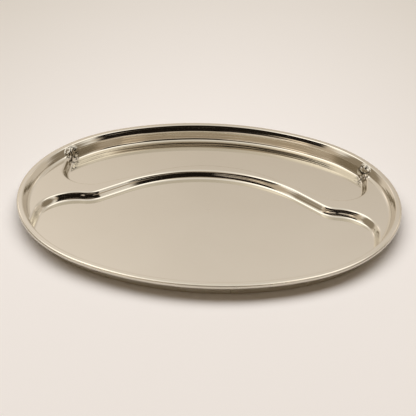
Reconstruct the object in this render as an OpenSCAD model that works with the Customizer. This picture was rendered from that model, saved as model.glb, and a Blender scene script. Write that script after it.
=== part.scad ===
// Oval thali: one pressed sheet of mirror-polished stainless steel with a large front well, a
// crescent well along the back and a raised ledge between them, its edge rolled over a steel wire.
// X runs along the length, +Y points to the crescent well, and Z = 0 is the face the plate rests on.

/* [Plate] */
// Length over the rolled edge
plate_length = 340; // [290:1:400]
// Width over the rolled edge
plate_width = 282; // [245:1:330]
// Height from the table to the top of the rolled edge
plate_height = 15.2; // [13:0.1:20]
// Thickness of the steel sheet
sheet = 0.8; // [0.5:0.05:1]
// Radius of the oval's ends, as a share of half the width
end_radius_share = 0.936; // [0.8:0.002:0.95]

/* [Rim] */
// Diameter of the wire inside the rolled edge
wire_d = 2.8; // [2:0.1:3.4]
// Play between the wire and the rolled sheet
wire_play = 0.1; // [0.05:0.01:0.2]
// Gap between the two butted ends of the wire
wire_gap = 1.5; // [0.5:0.1:5]
// How far the sheet is rolled round the wire, in degrees
roll_angle = 270; // [200:5:280]
// Flat land between the rolled edge and the rim's shoulder
land = 0.6; // [0.3:0.1:2]
// Radius of the shoulder where the rim turns down into the plate
rim_shoulder = 4.5; // [3.5:0.1:6]
// Radius at the foot of the rim wall
rim_foot = 2; // [1:0.1:3]
// Slope of the rim wall from the level, in degrees
rim_slope = 80; // [70:1:86]

/* [Wells] */
// Height of the ledge above the floors of the wells
ledge_rise = 6.6; // [5.5:0.1:8]
// Slope of the walls between ledge and wells, in degrees
step_slope = 60; // [50:1:75]
// Radius where the ledge turns down into a well
step_shoulder = 2.5; // [1.5:0.1:3.5]
// Radius at the foot of the walls between ledge and wells
step_foot = 2.5; // [1:0.1:3.5]

/* [Front well] */
// Width of the ridge between the two wells, at the middle
ridge_width = 10; // [8:0.5:20]
// How far the edge of the front well falls from its crest to the side ledges
wave_fall = 53.25; // [44:0.05:65]
// Length of the straight slope of that edge
wave_slope_run = 28.5; // [20:0.05:36]
// Radius of the bend below the slope
wave_bend = 20; // [15:0.5:26]
// Radius of the front well's rear corners
corner_radius = 37.5; // [30:0.5:46]
// Distance from the rim's edge to those corners
corner_inset = 19; // [15:0.5:24]

/* [Crescent well] */
// Width of the crescent from the rim's edge to the ridge, at the middle
crescent_width = 71; // [58:0.5:86]
// How far the crescent's front edge falls from its crest to its ends
crescent_fall = 48.45; // [40:0.05:58]
// Length of the straight stretch of that edge
crescent_run = 58; // [48:0.05:66]
// Radius of the crescent's ends
crescent_end = 26; // [20:0.5:32]
// Distance from the rim's edge to the crescent's ends
crescent_inset = 30.5; // [25:0.5:38]

/* [Hidden] */
$fn = 180;
// Overrun of every cut
over = 1;
// Straight steps in a rounded corner of a section, and in the roll round the wire
corner_steps = 6;
roll_steps = 12;
// Straight steps in each arc of a well's flat middle, and sides of the wire
outline_steps = 12;
wire_sides = 16;
// How far the section of a well's wall reaches over the flat floor
floor_lap = 4;
// Two halves of one arc lap over each other by this turn, so that they fuse
lap_turn = 0.02;
// Neighbouring arcs of the plate's outline lap by this length, in the sheet and in the wire
sheet_lap = 0.05;
wire_lap = 0.02;
// Sections, radii and lengths are rounded to this grain, so that neighbouring stretches meet exactly
grain = 0.001;
function snap(v) = round(v / grain) * grain;
function snap_points(points) = [for (p = points) [snap(p.x), snap(p.y)]];

half_length = plate_length / 2;
half_width = plate_width / 2;
bead = wire_d / 2 + wire_play + sheet;

// The oval is four tangent arcs: two ends and two sides
end_radius = snap(half_width * end_radius_share);
end_x = half_length - end_radius;
side_radius = snap((end_x ^ 2 + half_width ^ 2 - end_radius ^ 2) / (2 * (half_width - end_radius)));
end_angle = acos(end_x / (side_radius - end_radius));

ledge_z = sheet + ledge_rise;
crescent_crest = half_width - crescent_width;
well_crest = crescent_crest - ridge_width;
step_run = ledge_rise / tan(step_slope) + step_foot * tan(step_slope / 2);

// An edge that falls from a crest arc by a straight slope into a bend: the two radii together,
// and the angle that both arcs turn through
function wave_radii(x, fall, run) = snap((x ^ 2 + fall ^ 2 - run ^ 2) / (2 * fall));
function wave_angle(x, fall, run, radii) = atan2(x, radii - fall) - atan2(run, radii);

corner_x = half_length - corner_inset - corner_radius;
corner_y = well_crest - wave_fall - corner_radius;
wave_both = wave_radii(corner_x, wave_fall, wave_slope_run);
wave_crest = wave_both - wave_bend;
wave_turn = wave_angle(corner_x, wave_fall, wave_slope_run, wave_both);

crescent_x = half_length - crescent_inset - crescent_end;
crescent_y = crescent_crest - crescent_fall + crescent_end;
crescent_both = wave_radii(crescent_x, crescent_fall, crescent_run);
crescent_arc = crescent_both - crescent_end;
crescent_turn = wave_angle(crescent_x, crescent_fall, crescent_run, crescent_both);

// Points on an arc, where angle 0 points up and grows towards +X
function arc(centre, radius, from, to, steps) =
    [for (i = [0:steps]) let (a = from + (to - from) * i / steps)
        centre + radius * [sin(a), cos(a)]];

// Section of the rim measured inwards from the plate's outer edge. The space inside the plate has
// no growth; the same space grown by the sheet is the outside of the pressing.
shoulder_centre = [bead + land, plate_height - rim_shoulder];
foot_start_z = sheet + rim_foot * (1 - cos(rim_slope));
shoulder_end = shoulder_centre + rim_shoulder * [sin(rim_slope), cos(rim_slope)];
foot_in = shoulder_end.x + (shoulder_end.y - foot_start_z) / tan(rim_slope)
    + rim_foot * sin(rim_slope);
function rim_section(grow) = concat(
    arc([foot_in, sheet + rim_foot], rim_foot + grow, 180, 180 + rim_slope, corner_steps),
    arc(shoulder_centre, rim_shoulder - grow, rim_slope, 0, corner_steps));

// Section of the sheet rolled outwards and down round the wire
roll_section = let (centre = [bead, plate_height - bead]) concat(
    [[bead + land / 2, plate_height - sheet], [bead + land / 2, plate_height]],
    arc(centre, bead, 0, -roll_angle, roll_steps),
    arc(centre, bead - sheet, -roll_angle, 0, roll_steps));

// Section of a well's wall measured from the edge of the ledge, positive over the ledge
function step_section(grow, reach) = let (
    shoulder_out = step_shoulder * tan(step_slope / 2)) concat(
    [[-reach, sheet - grow]],
    arc([-step_run, sheet + step_foot], step_foot + grow, 180, 180 - step_slope, corner_steps),
    arc([shoulder_out, ledge_z - step_shoulder], step_shoulder - grow, -step_slope, 0,
        corner_steps),
    [[shoulder_out, ledge_z + over], [-reach, ledge_z + over]]);

// Turns a section, given as distance inwards and height, about one arc of the plate's outline
module turn_section(section, radius, from, to) {
    rotate(from) rotate_extrude(angle = to - from)
        polygon([for (p = snap_points(section)) [max(radius - p.x, 0), p.y]]);
}

// The angle that a length covers on an arc
function turn_of(length, radius) = length / radius * 180 / PI;

// Sweeps a section of the sheet round the whole oval, one quarter at a time. The end arc and the
// side arc of a quarter both start where they meet. A section that reaches the centres closes the
// middle.
module sheet_oval(section) {
    for (left = [0, 1], front = [0, 1]) mirror([left, 0, 0]) mirror([0, front, 0])
        translate([end_x, 0, 0]) rotate(end_angle) {
            mirror([0, 1, 0]) turn_section(section, end_radius,
                -turn_of(sheet_lap, end_radius), end_angle + lap_turn);
            translate([end_radius - side_radius, 0, 0]) turn_section(section, side_radius,
                -turn_of(sheet_lap, side_radius), 90 - end_angle + lap_turn);
        }
}

// Sweeps the wire's section round the whole oval
module wire_oval(section) {
    end_turn = end_angle + turn_of(wire_lap, end_radius);
    side_turn = end_angle - turn_of(wire_lap, side_radius);
    for (left = [0, 1]) mirror([left, 0, 0]) translate([end_x, 0, 0])
        turn_section(section, end_radius, -end_turn, end_turn);
    for (front = [0, 1]) mirror([0, front, 0]) translate([0, half_width - side_radius, 0])
        turn_section(section, side_radius, side_turn, 180 - side_turn);
}

// The oval space inside the rim, from the floors of the wells up to the given height
module oval_space(grow, top) {
    rim = rim_section(grow);
    out = grow > 0 ? bead : bead + land;
    sheet_oval(concat([[plate_length, sheet - grow]], rim,
        [[out, rim[len(rim) - 1].y], [out, top], [plate_length, top]]));
}

// A stretch of a well's wall round a centre, with the well inside or outside the arc. It starts
// at one angle and turns to the left, or to the right where the turn is negative.
module wall_turn(radius, well_inside, start, turn, grow) {
    reach = well_inside ? min(step_run + floor_lap, radius) : step_run + floor_lap;
    rotate(start) mirror([0, turn < 0 ? 1 : 0, 0]) rotate_extrude(angle = abs(turn))
        polygon([for (p = snap_points(step_section(grow, reach)))
            [radius + (well_inside ? p.x : -p.x), p.y]]);
}

// A straight stretch of a well's wall along +X, with the well on its right or on its left
module wall_line(length, well_right, grow) {
    mirror([0, well_right ? 0 : 1, 0]) rotate([90, 0, 90]) linear_extrude(length)
        polygon(snap_points(step_section(grow, step_run + floor_lap)));
}

// The flat middle of a well, from the outline of its right half
module well_middle(half_outline, grow) {
    count = len(half_outline);
    translate([0, 0, sheet - grow]) linear_extrude(ledge_z + over - sheet + grow)
        polygon(concat(half_outline,
            [for (i = [count - 1:-1:0]) [-half_outline[i].x, half_outline[i].y]]));
}

// The space of the front well. Each half of its rear wall is a chain of stretches in which each
// one starts where the last ends: the crest, the slope, the bend, the corner and the side, which
// runs straight out through the rim. The rim closes the well in front.
module front_well(grow) {
    crest = [0, well_crest - wave_crest];
    bend = [corner_x, corner_y + corner_radius + wave_bend];
    corner = [corner_x, corner_y];
    inset = step_run + floor_lap / 2;
    for (side = [0, 1]) mirror([side, 0, 0]) translate(crest) rotate(-wave_turn) {
        wall_turn(wave_crest, true, 90, wave_turn + lap_turn, grow);
        translate([0, wave_crest, 0]) wall_line(wave_slope_run, true, grow);
        translate([wave_slope_run, wave_both, 0]) {
            wall_turn(wave_bend, false, 270, wave_turn / 2 + lap_turn, grow);
            rotate(wave_turn) {
                wall_turn(wave_bend, false, 270, -wave_turn / 2 - lap_turn, grow);
                translate([0, -wave_bend - corner_radius, 0]) {
                    wall_turn(corner_radius, true, 0, 90, grow);
                    translate([corner_radius, 0, 0]) rotate(-90)
                        wall_line(corner_y + half_width, true, grow);
                }
            }
        }
    }
    well_middle(concat(
        arc(crest, wave_crest - inset, 0, wave_turn, outline_steps),
        arc(bend, wave_bend + inset, 180 + wave_turn, 180, outline_steps),
        arc(corner, corner_radius - inset, 90 / outline_steps, 90, outline_steps - 1),
        [[corner_x + corner_radius - inset, -half_width]]), grow);
}

// The space of the crescent well. Each half of its front wall is a chain in the same way: the
// crest along the ridge, the slope, the end and the side. The rim closes the well at the back.
module crescent_well(grow) {
    crest = [0, crescent_crest - crescent_arc];
    end = [crescent_x, crescent_y];
    inset = step_run + floor_lap / 2;
    for (side = [0, 1]) mirror([side, 0, 0]) translate(crest) rotate(-crescent_turn) {
        wall_turn(crescent_arc, false, 90, crescent_turn + lap_turn, grow);
        translate([0, crescent_arc, 0]) wall_line(crescent_run, false, grow);
        translate([crescent_run, crescent_both, 0]) {
            wall_turn(crescent_end, true, 270, crescent_turn + lap_turn, grow);
            rotate(crescent_turn) {
                wall_turn(crescent_end, true, 270, 90, grow);
                translate([crescent_end, 0, 0]) rotate(90)
                    wall_line(half_width - crescent_y, false, grow);
            }
        }
    }
    well_middle(concat(
        arc(crest, crescent_arc + inset, 0, crescent_turn, outline_steps),
        arc(end, crescent_end - inset, 180 + crescent_turn, 90, outline_steps),
        [[crescent_x + crescent_end - inset, half_width]]), grow);
}

// The pressed form: the oval space less the ledge that is left standing round the two wells
module pressed_form(grow, top) {
    difference() {
        oval_space(grow, top);
        difference() {
            translate([-half_length, -half_width, -over])
                cube([plate_length, plate_width, ledge_z - grow + over]);
            front_well(grow);
            crescent_well(grow);
        }
    }
}

// The one pressed sheet: the outside of the form less its inside, with the edge rolled over
module plate_pressing() {
    color("silver") difference() {
        union() {
            pressed_form(sheet, plate_height);
            sheet_oval(roll_section);
        }
        pressed_form(0, plate_height + over);
    }
}

// The wire in the rolled edge, bent to the oval with its two ends butted at the back
module rim_wire() {
    wire_centre = [bead, plate_height - bead];
    color("gray") difference() {
        union() wire_oval([for (i = [0:wire_sides - 1]) let (a = 360 * i / wire_sides)
            wire_centre + wire_d / 2 * [cos(a), sin(a)]]);
        translate([-wire_gap / 2, half_width - 2 * bead, 0])
            cube([wire_gap, 2 * bead, plate_height]);
    }
}

plate_pressing();
rim_wire();
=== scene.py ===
import math

import bmesh
import bpy
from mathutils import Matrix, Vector


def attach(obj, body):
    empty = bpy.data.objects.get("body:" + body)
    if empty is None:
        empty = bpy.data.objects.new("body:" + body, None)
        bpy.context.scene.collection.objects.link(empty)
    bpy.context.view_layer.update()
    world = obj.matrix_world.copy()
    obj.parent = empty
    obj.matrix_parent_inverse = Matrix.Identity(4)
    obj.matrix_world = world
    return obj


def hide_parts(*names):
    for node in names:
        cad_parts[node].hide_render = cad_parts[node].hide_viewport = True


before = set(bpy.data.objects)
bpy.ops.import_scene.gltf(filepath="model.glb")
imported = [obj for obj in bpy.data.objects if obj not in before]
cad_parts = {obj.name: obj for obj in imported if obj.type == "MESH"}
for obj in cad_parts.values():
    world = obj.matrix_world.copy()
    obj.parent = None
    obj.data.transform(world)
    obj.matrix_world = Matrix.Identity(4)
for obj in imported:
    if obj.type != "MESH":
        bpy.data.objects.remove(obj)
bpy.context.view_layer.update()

# The camera
# It stands in front of the plate and looks down on it at about 30 degrees through a long lens.
# Place, turn and lens were fitted to the oval of the rolled edge in the photograph.
mm = 0.001
camera_place = Vector((99.0, -1090.4, 657.5)) * mm
camera_turn = (59.125, -0.958, 5.792)
lens_length = 124.2
film_width = 36
nearest_seen = 50

bpy.ops.object.select_all(action="DESELECT")
bpy.ops.object.camera_add(location=camera_place,
                          rotation=[math.radians(degrees) for degrees in camera_turn])
camera = bpy.context.object
camera.name = "camera"
camera.data.lens = lens_length
camera.data.sensor_width = film_width
camera.data.clip_start = nearest_seen * mm
bpy.context.scene.camera = camera

# The plate
# One sheet of stainless steel, pressed into two wells with a raised ledge between them and
# polished to a mirror. Its edge is rolled outwards and down over a wire.

# Sizes are in millimetres, and slopes and turns in degrees
plate_length = 340
plate_width = 282
plate_height = 15.2
sheet = 0.8
end_radius_share = 0.936
end_steps = 48
side_steps = 60

# Shapes that cut reach past what they cut by the overrun, and points within the grain are one
overrun = 6
grain = 0.001

half_length = plate_length / 2
half_width = plate_width / 2
end_radius = half_width * end_radius_share
end_x = half_length - end_radius
side_radius = (end_x ** 2 + half_width ** 2 - end_radius ** 2) / (2 * (half_width - end_radius))
side_y = side_radius - half_width
end_angle = math.degrees(math.atan2(side_y, end_x))


def draw_section(name, points):
    """Draws a section out of one vertex, point by point, and leaves it selected in edit mode."""
    points = [Vector(point) * mm for point in points]
    bpy.ops.object.select_all(action="DESELECT")
    bpy.ops.mesh.primitive_plane_add(size=mm)
    piece = bpy.context.object
    piece.name = piece.data.name = name
    bpy.ops.object.mode_set(mode="EDIT")
    bpy.ops.mesh.select_mode(type="VERT")
    bpy.ops.mesh.merge(type="CENTER")
    bpy.ops.transform.translate(value=points[0])
    for here, there in zip(points, points[1:]):
        bpy.ops.mesh.extrude_vertices_move(TRANSFORM_OT_translate={"value": there - here})
    bpy.ops.mesh.select_all(action="SELECT")
    return piece


def turn(centre_x, centre_y, degrees, steps):
    """Spins the selected section to the right about a centre, or to the left if negative."""
    bpy.ops.mesh.spin(steps=steps, angle=math.radians(degrees), axis=(0, 0, 1),
                      center=(centre_x * mm, centre_y * mm, 0))


def run(x, y):
    """Carries the selected section straight on."""
    bpy.ops.mesh.extrude_region_move(TRANSFORM_OT_translate={"value": (x * mm, y * mm, 0)})


def go_round_oval():
    """Spins the selected section from the right end round the whole oval."""
    turn(end_x, 0, -end_angle, end_steps)
    turn(0, -side_y, 2 * end_angle - 180, side_steps)
    turn(-end_x, 0, -2 * end_angle, 2 * end_steps)
    turn(0, side_y, 2 * end_angle - 180, side_steps)
    turn(end_x, 0, -end_angle, end_steps)


def select_edges(piece, wanted):
    """Selects only the edges whose two ends pass the test, in edit mode."""
    bpy.ops.mesh.select_mode(type="EDGE")
    bpy.ops.mesh.select_all(action="DESELECT")
    mesh = bmesh.from_edit_mesh(piece.data)
    for edge in mesh.edges:
        edge.select_set(all(wanted(vertex.co / mm) for vertex in edge.verts))
    bmesh.update_edit_mesh(piece.data)


def close_and_leave(piece, *levels):
    """Joins a spun wall up, fills it at the given levels and turns its faces outwards."""
    bpy.ops.mesh.select_all(action="SELECT")
    bpy.ops.mesh.remove_doubles(threshold=grain * mm)
    for level in levels:
        select_edges(piece, lambda point: abs(point.z - level) < grain)
        bpy.ops.mesh.edge_face_add()
    bpy.ops.mesh.select_all(action="SELECT")
    bpy.ops.mesh.normals_make_consistent(inside=False)
    bpy.ops.object.mode_set(mode="OBJECT")


def bent(start, rise, *parts):
    """A section line that bends: each part has its length and the slopes at its two ends."""
    turn_a_step = 5
    points = [start]
    for length, first, last in parts:
        steps = max(2, round(abs(last - first) / turn_a_step))
        for step in range(steps):
            slope = math.radians(first + (last - first) * (step + 0.5) / steps)
            points.append((points[-1][0] + length / steps * math.cos(slope),
                           points[-1][1] + rise * length / steps * math.sin(slope)))
    return points


def turned(radius, slopes):
    """Length of an arc that turns through so many degrees of slope."""
    return radius * math.radians(slopes)


# Space inside the rim, from the floor up to above the rolled edge. From the flat land beside the
# rolled edge the wall turns down over a narrow shoulder, falls by a flank and turns steep.
wire_d = 2.8
wire_play = 0.1
land = 2.15
rim_shoulder = 1.5
flank_top = 54
rim_flank = 5.3
flank_foot = 62
rim_turn = 2.5
rim_slope = 83

bead = wire_d / 2 + wire_play + sheet
rim_top = bent((bead + land, plate_height), -1,
               (turned(rim_shoulder, flank_top), 0, flank_top),
               (rim_flank, flank_top, flank_foot),
               (turned(rim_turn, rim_slope - flank_foot), flank_foot, rim_slope))

# The steep wall ends in a short toe and a round foot
toe_round = 1
toe_top = 66
toe_foot = 54
rim_toe = 1.2
rim_foot = 2


def rim_foot_at(floor, radius, toe):
    """Joins the steep wall of the rim to a level floor by a short toe and a round foot."""
    parts = ((turned(toe_round, rim_slope - toe_top), rim_slope, toe_top),
             (toe, toe_top, toe_foot),
             (turned(radius, toe_foot), toe_foot, 0))
    drop = rim_top[-1][1] - floor + bent((0, 0), -1, *parts)[-1][1]
    corner = (rim_top[-1][0] + drop / math.tan(math.radians(rim_slope)), rim_top[-1][1] - drop)
    return bent(corner, -1, *parts)[::-1]


rim_wall = rim_foot_at(sheet, rim_foot, rim_toe) + rim_top[::-1]
plate = draw_section("plate", [(half_length - across, 0, height) for across, height
                               in rim_wall + [(rim_wall[-1][0], plate_height + overrun)]])
go_round_oval()
close_and_leave(plate, sheet, plate_height + overrun)

# Wall between the ledge and a well, with the edge of the ledge at zero. It is steepest halfway
# up, and the step slope is that from the middle of the wall to the edge.
ledge_rise = 6.6
step_slope = 60
wall_slope = 52
wall_steepest = 62
wall_round = 2.5

ledge_z = sheet + ledge_rise
bend_length = turned(wall_round, wall_slope)
middle = math.radians((wall_slope + wall_steepest) / 2)
half_wall = (ledge_rise / 2 - wall_round * (1 - math.cos(math.radians(wall_slope)))) \
    / math.sin(middle)
half_reach = wall_round * math.sin(math.radians(wall_slope)) + half_wall * math.cos(middle)
foot_at = -ledge_rise / 2 / math.tan(math.radians(step_slope)) - half_reach
step_line = bent((foot_at, sheet), 1,
                 (bend_length, 0, wall_slope),
                 (half_wall, wall_slope, wall_steepest),
                 (half_wall, wall_steepest, wall_slope),
                 (bend_length, wall_slope, 0))
fit = ledge_rise / (step_line[-1][1] - sheet)
step_wall = ([(foot_at, -overrun)]
             + [(across, sheet + (height - sheet) * fit) for across, height in step_line]
             + [(step_line[-1][0], ledge_z + overrun)])


def wave(x, fall, slope_run):
    """An edge that falls from a crest arc by a slope into a bend: both radii, and the turn."""
    radii = (x ** 2 + fall ** 2 - slope_run ** 2) / (2 * fall)
    return radii, math.degrees(math.atan2(x, radii - fall) - math.atan2(slope_run, radii))


# Front well: up the left side, round the corner, over the wave and down the right side
crescent_width = 71
ridge_width = 10
wave_fall = 53.25
wave_slope_run = 28.5
wave_bend = 20
corner_radius = 37.5
corner_inset = 19
corner_steps = 30
bend_steps = 14
crest_steps = 48

crescent_crest = half_width - crescent_width
well_crest = crescent_crest - ridge_width
corner_x = half_length - corner_inset - corner_radius
corner_y = well_crest - wave_fall - corner_radius
bend_y = corner_y + corner_radius + wave_bend
wave_radii, wave_turn = wave(corner_x, wave_fall, wave_slope_run)
wave_crest = wave_radii - wave_bend
slope_x = wave_slope_run * math.cos(math.radians(wave_turn))
slope_y = wave_slope_run * math.sin(math.radians(wave_turn))
front_end = -half_width - overrun
side_run = corner_y - front_end
front_well = draw_section("front_well", [(-corner_x - corner_radius - across, front_end, height)
                                         for across, height in step_wall])
run(0, side_run)
turn(-corner_x, corner_y, 90, corner_steps)
turn(-corner_x, bend_y, -wave_turn, bend_steps)
run(slope_x, slope_y)
turn(0, well_crest - wave_crest, 2 * wave_turn, crest_steps)
run(slope_x, -slope_y)
turn(corner_x, bend_y, -wave_turn, bend_steps)
turn(corner_x, corner_y, 90, corner_steps)
run(0, -side_run)
select_edges(front_well, lambda point: point.y < front_end + grain)
bpy.ops.mesh.bridge_edge_loops()
close_and_leave(front_well, -overrun, ledge_z + overrun)

# Crescent well: down the left side, round the end, along the ridge and up the right side. Each
# side bends in along the rim before it runs out through it.
crescent_fall = 48.45
crescent_run = 58
crescent_end = 26
crescent_inset = 30.5
end_blend = 41.5
end_blend_y = 60
end_blend_turn = 45
crescent_end_steps = 40
ridge_steps = 36
blend_steps = 24

crescent_x = half_length - crescent_inset - crescent_end
crescent_y = crescent_crest - crescent_fall + crescent_end
crescent_radii, crescent_turn = wave(crescent_x, crescent_fall, crescent_run)
crescent_arc = crescent_radii - crescent_end
slope_x = crescent_run * math.cos(math.radians(crescent_turn))
slope_y = crescent_run * math.sin(math.radians(crescent_turn))
blend_x = crescent_x + crescent_end - end_blend
out_x = math.sin(math.radians(end_blend_turn))
out_y = math.cos(math.radians(end_blend_turn))
run_out = (half_width + 3 * overrun - end_blend_y - end_blend * out_x) / out_y
start_x = -blend_x - end_blend * out_y + run_out * out_x
start_y = end_blend_y + end_blend * out_x + run_out * out_y
crescent_well = draw_section("crescent_well", [(start_x - across * out_y,
                                                start_y + across * out_x, height)
                                               for across, height in step_wall])
run(-run_out * out_x, -run_out * out_y)
turn(-blend_x, end_blend_y, -end_blend_turn, blend_steps)
run(0, crescent_y - end_blend_y)
turn(-crescent_x, crescent_y, -90 - crescent_turn, crescent_end_steps)
run(slope_x, slope_y)
turn(0, crescent_crest - crescent_arc, 2 * crescent_turn, ridge_steps)
run(slope_x, -slope_y)
turn(crescent_x, crescent_y, -90 - crescent_turn, crescent_end_steps)
run(0, end_blend_y - crescent_y)
turn(blend_x, end_blend_y, -end_blend_turn, blend_steps)
run(-run_out * out_x, run_out * out_y)
select_edges(crescent_well, lambda point: point.y > half_width + overrun)
bpy.ops.mesh.bridge_edge_loops()
close_and_leave(crescent_well, -overrun, ledge_z + overrun)

# The ledge is a block less both wells, and stands up inside the rim, into which it runs with a
# round foot of its own. The foot's ring sinks a little into the block, and the block's bottom
# lies a little above those of the wells.
ledge_toe = 0.6
ledge_foot = 3.2
ring_sink = 1
block_lift = 1


def combine(piece, tool, operation):
    """Adds one closed shape to another, or cuts it out."""
    cut = piece.modifiers.new("combine", "BOOLEAN")
    cut.operation = operation
    cut.solver = "EXACT"
    cut.object = tool
    bpy.context.view_layer.objects.active = piece
    bpy.ops.object.modifier_apply(modifier=cut.name)
    bpy.data.objects.remove(tool)


foot_arc = rim_foot_at(ledge_z, ledge_foot, ledge_toe)
ring_bottom = ledge_z - ring_sink
ring_section = ([(foot_arc[0][0], ring_bottom)] + foot_arc
                + [(bead + land, foot_arc[-1][1]), (bead + land, ring_bottom)])
foot_ring = draw_section("foot_ring", [(half_length - across, 0, height)
                                       for across, height in ring_section])
select_edges(foot_ring, lambda point: point.z < ring_bottom + grain)
bpy.ops.mesh.edge_face_add()
bpy.ops.mesh.select_all(action="SELECT")
go_round_oval()
close_and_leave(foot_ring)

bpy.ops.mesh.primitive_cube_add(size=mm, location=(0, 0, 0))
ledge = bpy.context.object
ledge.name = "ledge"
ledge.scale = (plate_length, plate_width, ledge_z + overrun - block_lift)
ledge.location.z = (ledge_z - overrun + block_lift) / 2 * mm
bpy.ops.object.transform_apply(location=True, rotation=False, scale=True)
combine(ledge, foot_ring, "UNION")
combine(ledge, front_well, "DIFFERENCE")
combine(ledge, crescent_well, "DIFFERENCE")
combine(plate, ledge, "DIFFERENCE")

# Only the skin below the rolled edge stays
bpy.ops.object.mode_set(mode="EDIT")
bpy.ops.mesh.select_mode(type="VERT")
bpy.ops.mesh.select_all(action="DESELECT")
skin = bmesh.from_edit_mesh(plate.data)
for vertex in skin.verts:
    vertex.select_set(vertex.co.z / mm > plate_height + overrun / 2)
bmesh.update_edit_mesh(plate.data)
bpy.ops.mesh.delete(type="VERT")
bpy.ops.object.mode_set(mode="OBJECT")

# The rolled edge takes over at the land and goes outwards, down and back in under the wire. It
# and the skin meet within the seam.
roll_angle = 270
roll_steps = 36
seam = 0.002


def arc(centre, radius, start, end, steps):
    """Points of a section's arc as (across, height). Angle 0 points up and grows inwards."""
    angles = [math.radians(start + (end - start) * step / steps) for step in range(steps + 1)]
    return [(centre[0] + radius * math.sin(angle), centre[1] + radius * math.cos(angle))
            for angle in angles]


bead_centre = (bead, plate_height - bead)
roll_wall = [(bead + land, plate_height)] + arc(bead_centre, bead, 0, -roll_angle, roll_steps)
draw_section("roll", [(half_length - across, 0, height) for across, height in roll_wall])
go_round_oval()
bpy.ops.object.mode_set(mode="OBJECT")
plate.select_set(True)
bpy.context.view_layer.objects.active = plate
bpy.ops.object.join()
bpy.ops.object.mode_set(mode="EDIT")
bpy.ops.mesh.select_mode(type="VERT")
bpy.ops.mesh.select_all(action="SELECT")
bpy.ops.mesh.remove_doubles(threshold=seam * mm)
bpy.ops.mesh.normals_make_consistent(inside=False)
bpy.ops.object.mode_set(mode="OBJECT")

# The skin is the upper side of the sheet, so the floors have to face up before it gets its
# thickness
floor_face = min(plate.data.polygons, key=lambda face: face.center.z - face.area)
if floor_face.normal.z < 0:
    plate.data.flip_normals()

smooth_below = 35
thicken = plate.modifiers.new("sheet", "SOLIDIFY")
thicken.thickness = sheet * mm
thicken.offset = -1
bpy.ops.object.modifier_apply(modifier=thicken.name)
bpy.ops.object.shade_smooth_by_angle(angle=math.radians(smooth_below))
weight = plate.modifiers.new("weight", "WEIGHTED_NORMAL")
weight.mode = "FACE_AREA"
weight.weight = 100
weight.keep_sharp = True
bpy.ops.object.modifier_apply(modifier=weight.name)


def linear(colour):
    """An sRGB hex colour as linear values."""
    parts = [int(colour[place:place + 2], 16) / 255 for place in (1, 3, 5)]
    return [part / 12.92 if part <= 0.04045 else ((part + 0.055) / 1.055) ** 2.4
            for part in parts] + [1]


def every(size):
    """Scale of a pattern whose waves or marks are so many millimetres long."""
    return 1 / (size * mm)


def add(nodes, kind, settings=(), **links):
    """Adds a node. Settings go on the node or its sockets, and links come from other nodes. A
    name such as _1 is the socket at that place, counted from 0."""
    node = nodes.new(kind)
    for name, value in dict(settings).items():
        if hasattr(node, name):
            setattr(node, name, value)
        else:
            node.inputs[int(name[1:]) if name[1:].isdigit() else name].default_value = value
    for name, source in links.items():
        place = int(name[1:]) if name[1:].isdigit() else name.replace("_", " ")
        nodes.id_data.links.new(source, node.inputs[place])
    return node


# Mirror-polished stainless steel: warm grey, with wider patches where hands and cloths have
# dulled it
patch_size = 71.43
clearest = 0.05
dullest = 0.1
polished = bpy.data.materials.new("mirror_polished_stainless_steel")
polished.use_nodes = True
nodes = polished.node_tree.nodes
steel = nodes["Principled BSDF"]
steel.inputs["Metallic"].default_value = 1
place = add(nodes, "ShaderNodeTexCoord").outputs["Object"]
patches = add(nodes, "ShaderNodeTexNoise", {"Scale": every(patch_size), "Detail": 3.0},
              Vector=place)
tint = add(nodes, "ShaderNodeMix", {"data_type": "RGBA", "_6": linear("#D0CABE"),
                                    "_7": linear("#D6D1C6")}, Factor=patches.outputs[0])
gloss = add(nodes, "ShaderNodeMapRange", {"To Min": clearest, "To Max": dullest},
            Value=patches.outputs[0])

# Buffing marks lie across the plate as a faint haze
buffing_width = 0.4
buffing_length = 6.25
buffing_depth = 0.02
buffing_strength = 0.03
stretched = add(nodes, "ShaderNodeMapping", {"Scale": (every(buffing_width), every(buffing_length),
                                                       every(buffing_length))}, Vector=place)
buffing = add(nodes, "ShaderNodeTexNoise", {"Scale": 1.0, "Detail": 2.0},
              Vector=stretched.outputs[0])

# The drawing tool has left level marks on the walls, which break their reflections into lines
mark_height = 1.5625
mark_length = 100
mark_depth = 0.13
drawn_out = add(nodes, "ShaderNodeMapping", {"Scale": (every(mark_length), every(mark_length),
                                                       every(mark_height))}, Vector=place)
lines = add(nodes, "ShaderNodeTexNoise", {"Scale": 1.0, "Detail": 1.0},
            Vector=drawn_out.outputs[0])

# The sheet has crinkled where each end of the crescent runs into the rim
crinkle_place = (134.5, 72, 8)
crinkle_size = 4.1667
crinkle_depth = 0.9
crinkled_within = 6
crinkles_end = 10
knots = [add(nodes, "ShaderNodeVectorMath",
             {"operation": "DISTANCE",
              "_1": (side * crinkle_place[0] * mm, crinkle_place[1] * mm, crinkle_place[2] * mm)},
             _0=place).outputs["Value"] for side in (-1, 1)]
nearest = add(nodes, "ShaderNodeMath", {"operation": "MINIMUM"}, _0=knots[0], _1=knots[1])
inside = add(nodes, "ShaderNodeMapRange", {"From Min": crinkles_end * mm,
                                           "From Max": crinkled_within * mm},
             Value=nearest.outputs[0])
crumple = add(nodes, "ShaderNodeTexNoise", {"Scale": every(crinkle_size), "Detail": 1.0},
              Vector=place)
folds = add(nodes, "ShaderNodeMath", {"operation": "MULTIPLY"}, _0=crumple.outputs[0],
            _1=inside.outputs[0])
creases = add(nodes, "ShaderNodeBump", {"Strength": 1.0, "Distance": crinkle_depth * mm},
              Height=folds.outputs[0])
draw_marks = add(nodes, "ShaderNodeBump", {"Strength": 1.0, "Distance": mark_depth * mm},
                 Height=lines.outputs[0], Normal=creases.outputs[0])
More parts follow.
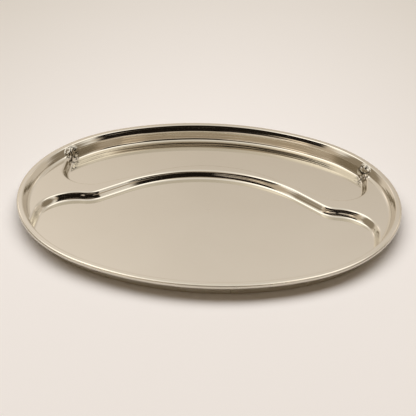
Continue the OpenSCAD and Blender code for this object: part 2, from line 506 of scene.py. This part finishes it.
relief = add(nodes, "ShaderNodeBump", {"Strength": buffing_strength,
                                       "Distance": buffing_depth * mm},
             Height=buffing.outputs[0], Normal=draw_marks.outputs[0])

# Sides that face outwards have rubbed on other plates in the stack and are duller
rubbed_roughness = 0.2
rub_start = 0.2
rub_full = 0.8
outwards = add(nodes, "ShaderNodeVectorMath", {"operation": "NORMALIZE"}, _0=place)
facing = add(nodes, "ShaderNodeVectorMath", {"operation": "DOT_PRODUCT"}, _0=outwards.outputs[0],
             _1=add(nodes, "ShaderNodeNewGeometry").outputs["Normal"])
rubbed = add(nodes, "ShaderNodeMapRange", {"From Min": rub_start, "From Max": rub_full,
                                           "To Max": rubbed_roughness},
             Value=facing.outputs["Value"])
dull = add(nodes, "ShaderNodeMath", {"operation": "ADD"}, _0=gloss.outputs[0],
           _1=rubbed.outputs[0])

# Painted dark reflections: the base colour turns near black in a thin band halfway up the
# crinkles, standing in for the dark that the creases mirror
painted_reflection_low = 0.4
painted_reflection_low_full = 0.45
painted_reflection_high_full = 0.53
painted_reflection_high = 0.56
past = add(nodes, "ShaderNodeMapRange", {"From Min": painted_reflection_low, "From Max": painted_reflection_low_full},
           Value=crumple.outputs[0])
short = add(nodes, "ShaderNodeMapRange", {"From Min": painted_reflection_high, "From Max": painted_reflection_high_full},
            Value=crumple.outputs[0])
crease = add(nodes, "ShaderNodeMath", {"operation": "MULTIPLY"}, _0=past.outputs[0],
             _1=short.outputs[0])
painted_dark_reflection = add(nodes, "ShaderNodeMath", {"operation": "MULTIPLY"}, _0=crease.outputs[0],
           _1=inside.outputs[0])
# Painted reflection: near-black colour is mixed into the steel's tint where the creases mirror the
# dark
reflection_painted_colour = add(nodes, "ShaderNodeMix", {"data_type": "RGBA", "_7": linear("#1E1A15")},
             Factor=painted_dark_reflection.outputs[0], _6=tint.outputs[2])

links = polished.node_tree.links
links.new(reflection_painted_colour.outputs[2], steel.inputs["Base Color"])
links.new(dull.outputs[0], steel.inputs["Roughness"])
links.new(relief.outputs[0], steel.inputs["Normal"])
plate.data.materials.append(polished)
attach(plate, "root")
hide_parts("plate_pressing")

# The wire in the rolled edge
# A drawn steel wire bent to the oval, which keeps the edge stiff. The roll goes round it, so it
# shows only through the gap of the roll, from below.
stain_size = 16.667
wire_clearest = 0.3
wire_dullest = 0.45
drawn = bpy.data.materials.new("drawn_steel_wire")
drawn.use_nodes = True
nodes = drawn.node_tree.nodes
wire_steel = nodes["Principled BSDF"]
wire_steel.inputs["Metallic"].default_value = 1
place = add(nodes, "ShaderNodeTexCoord").outputs["Object"]
stain = add(nodes, "ShaderNodeTexNoise", {"Scale": every(stain_size), "Detail": 3.0},
            Vector=place)
tint = add(nodes, "ShaderNodeMix", {"data_type": "RGBA", "_6": linear("#8C8984"),
                                    "_7": linear("#A09C95")}, Factor=stain.outputs[0])
gloss = add(nodes, "ShaderNodeMapRange", {"To Min": wire_clearest, "To Max": wire_dullest},
            Value=stain.outputs[0])
links = drawn.node_tree.links
links.new(tint.outputs[2], wire_steel.inputs["Base Color"])
links.new(gloss.outputs[0], wire_steel.inputs["Roughness"])
for material_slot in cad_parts["rim_wire"].material_slots:
    material_slot.material = drawn

# The table
# A sheet of matt pale paper under the plate, just clear of its floors. Its colour is painted
# darker away from the plate as painted shade, and it darkens sooner to the left and right than to
# the front and back.
table_size = 12
table_gap = 0.05
paper_roughness = 0.9
shade_squeeze = (2.0, 1.0, 1.0)
shade_middle = (0.0, -0.3, 0.0)
shade_start = 0.46
shade_full = 1.05
bpy.ops.mesh.primitive_plane_add(size=table_size, location=(0, 0, -table_gap * mm))
table = bpy.context.object
table.name = "table"
paper = bpy.data.materials.new("pale_paper")
paper.use_nodes = True
nodes = paper.node_tree.nodes
sheet_of_paper = nodes["Principled BSDF"]
sheet_of_paper.inputs["Roughness"].default_value = paper_roughness
sheet_of_paper.inputs["Specular IOR Level"].default_value = 0
oval = add(nodes, "ShaderNodeVectorMath", {"operation": "MULTIPLY", "_1": shade_squeeze},
           _0=add(nodes, "ShaderNodeTexCoord").outputs["Object"]).outputs[0]
away = add(nodes, "ShaderNodeVectorMath", {"operation": "DISTANCE", "_1": shade_middle},
           _0=oval).outputs["Value"]
fall = add(nodes, "ShaderNodeMapRange", {"From Min": shade_start, "From Max": shade_full},
           Value=away)
# Painted shade: the paper's colour goes from #F1EFEE near the plate to #D0CCC4 farther away
shade = add(nodes, "ShaderNodeMix", {"data_type": "RGBA", "_6": linear("#F1EFEE"),
                                     "_7": linear("#D0CCC4")}, Factor=fall.outputs[0])
paper.node_tree.links.new(shade.outputs[2], sheet_of_paper.inputs["Base Color"])
table.data.materials.append(paper)

# The room
# A bright ceiling, a pale wall behind the plate and a dark room behind the camera, which the
# polished steel mirrors. Heights are in degrees, and a place to the side goes from -1 at the
# left to 1 at the right.
world = bpy.data.worlds.new("room")
bpy.context.scene.world = world
world.use_nodes = True
nodes = world.node_tree.nodes
axes = add(nodes, "ShaderNodeSeparateXYZ",
           _0=add(nodes, "ShaderNodeTexCoord").outputs["Generated"]).outputs
aside = add(nodes, "ShaderNodeMath", {"operation": "ABSOLUTE"}, _0=axes[0]).outputs[0]

# Walls and ceiling change colour by the angle up from the wall behind the plate, over the
# ceiling, to the wall behind the camera
wall_colours = [(0, "#E2D6C7"), (27, "#E2D6C7"), (30.5, "#ECE2D7"), (34, "#F9F0E7"),
                (42, "#E4DACD"), (64, "#FFFAF2"), (116, "#FFFAF2"), (128, "#D2C4B2"),
                (134, "#C6B6A2"), (146, "#C6B6A2"), (152, "#E6DACC"), (160, "#CABAA6"),
                (167, "#CABAA6"), (174, "#F2E8DC")]
over = add(nodes, "ShaderNodeMath", {"operation": "ARCTAN2"}, _0=axes[2], _1=axes[1])
share = add(nodes, "ShaderNodeMath", {"operation": "DIVIDE", "_1": math.pi}, _0=over.outputs[0])
walls = add(nodes, "ShaderNodeValToRGB", Fac=share.outputs[0])
elements = walls.color_ramp.elements
while len(elements) < len(wall_colours):
    elements.new(0.5)
for element, (degrees, colour) in zip(elements, wall_colours):
    element.position = degrees / 180
    element.color = linear(colour)


def band(value, low, high, soft):
    """1 where a value lies between two limits, 0 outside them, with soft ends."""
    rise = add(nodes, "ShaderNodeMapRange", {"From Min": low, "From Max": low + soft}, Value=value)
    fall = add(nodes, "ShaderNodeMapRange", {"From Min": high, "From Max": high - soft},
               Value=value)
    return add(nodes, "ShaderNodeMath", {"operation": "MULTIPLY"}, _0=rise.outputs[0],
               _1=fall.outputs[0]).outputs[0]


def patch(height, low, high, soft, side, left, right, side_soft):
    """A band between two heights in degrees, cut off at two places to the side."""
    return add(nodes, "ShaderNodeMath", {"operation": "MULTIPLY"},
               _0=band(height, math.radians(low), math.radians(high), math.radians(soft)),
               _1=band(side, left, right, side_soft)).outputs[0]


# The dark room behind the camera shows through a wide low opening and a doorway below it. Both
# sink towards the sides, and less so on the left.
side_drop = 8
left_lift = 5
height = add(nodes, "ShaderNodeMath", {"operation": "ARCSINE"}, _0=axes[2]).outputs[0]
square = add(nodes, "ShaderNodeMath", {"operation": "MULTIPLY"}, _0=axes[0], _1=axes[0])
level = add(nodes, "ShaderNodeMath", {"operation": "MULTIPLY_ADD", "_1": math.radians(side_drop)},
            _0=square.outputs[0], _2=height).outputs[0]
leftness = add(nodes, "ShaderNodeMath", {"operation": "MINIMUM", "_1": 0}, _0=axes[0])
level = add(nodes, "ShaderNodeMath", {"operation": "MULTIPLY_ADD", "_1": math.radians(left_lift)},
            _0=leftness.outputs[0], _2=level).outputs[0]
opening = patch(level, low=29, high=42.5, soft=1,
                side=axes[0], left=-0.76, right=0.82, side_soft=0.05)
doorway = patch(level, low=21, high=31, soft=1,
                side=axes[0], left=-0.12, right=0.55, side_soft=0.08)
dark = add(nodes, "ShaderNodeMath", {"operation": "MAXIMUM"}, _0=opening, _1=doorway)
behind = add(nodes, "ShaderNodeMath", {"operation": "LESS_THAN", "_1": 0}, _0=axes[1])
dark = add(nodes, "ShaderNodeMath", {"operation": "MULTIPLY"}, _0=dark.outputs[0],
           _1=behind.outputs[0])

# The walls far to each side are grey
wing_start = 0.86
wing_end = 1.5
wing_soft = 0.05
wings = add(nodes, "ShaderNodeMix", {"data_type": "RGBA", "_7": linear("#998C79")},
            Factor=band(aside, wing_start, wing_end, wing_soft), _6=walls.outputs[0])
room = add(nodes, "ShaderNodeMix", {"data_type": "RGBA", "_7": linear("#1C1712")},
           Factor=dark.outputs[0], _6=wings.outputs[2])

# A bright panel hangs high on each side, small windows are low on each side in front and behind,
# and the light grows to the left of the middle
panel_gain = 0.9
left_light = 1.15
left_light_start = -0.08
left_light_full = -0.2
panels = patch(over.outputs[0], low=58, high=128, soft=10,
               side=aside, left=0.22, right=0.85, side_soft=0.2)
windows = patch(level, low=18, high=29, soft=2,
                side=aside, left=0.48, right=0.68, side_soft=0.04)
lights = add(nodes, "ShaderNodeMath", {"operation": "MAXIMUM"}, _0=panels, _1=windows)
bright = add(nodes, "ShaderNodeMath", {"operation": "MULTIPLY_ADD", "_1": panel_gain, "_2": 1.0},
             _0=lights.outputs[0])
leftwards = add(nodes, "ShaderNodeMapRange",
                {"From Min": left_light_start, "From Max": left_light_full,
                 "To Min": 1.0, "To Max": left_light}, Value=axes[0])
lit = add(nodes, "ShaderNodeMath", {"operation": "MULTIPLY"}, _0=bright.outputs[0],
          _1=leftwards.outputs[0])

# Only mirrored rays see the room in full, so that most light on the table comes from the lamp
rays = add(nodes, "ShaderNodeLightPath").outputs
glow = add(nodes, "ShaderNodeMix", {"data_type": "RGBA", "_7": linear("#76634A")},
           Factor=rays["Is Diffuse Ray"], _6=room.outputs[2])
seen = add(nodes, "ShaderNodeMix", {"data_type": "RGBA", "_7": linear("#D8D0C6")},
           Factor=rays["Is Camera Ray"], _6=glow.outputs[2])
strength = add(nodes, "ShaderNodeMix", {"_2": 1.0}, Factor=rays["Is Glossy Ray"],
               _3=lit.outputs[0])
links = world.node_tree.links
links.new(seen.outputs[2], nodes["Background"].inputs["Color"])
links.new(strength.outputs[0], nodes["Background"].inputs["Strength"])

# The lamp
# One large soft light high above the plate and a little behind it, which throws the soft shadow
# to the front. The steel doesn't mirror it.
lamp_place = (-0.24, 0.75, 3)
lamp_width = 7
lamp_depth = 3.4
lamp_power = 137
bpy.ops.object.light_add(type="AREA", location=lamp_place)
lamp = bpy.context.object
lamp.name = "soft_lamp"
lamp.data.shape = "ELLIPSE"
lamp.data.size = lamp_width
lamp.data.size_y = lamp_depth
lamp.data.energy = lamp_power
lamp.data.color = linear("#FDFCFB")[:3]
lamp.rotation_euler = (-Vector(lamp.location)).to_track_quat("-Z", "Y").to_euler()
lamp.visible_glossy = False

bpy.context.scene.view_settings.view_transform = "Standard"
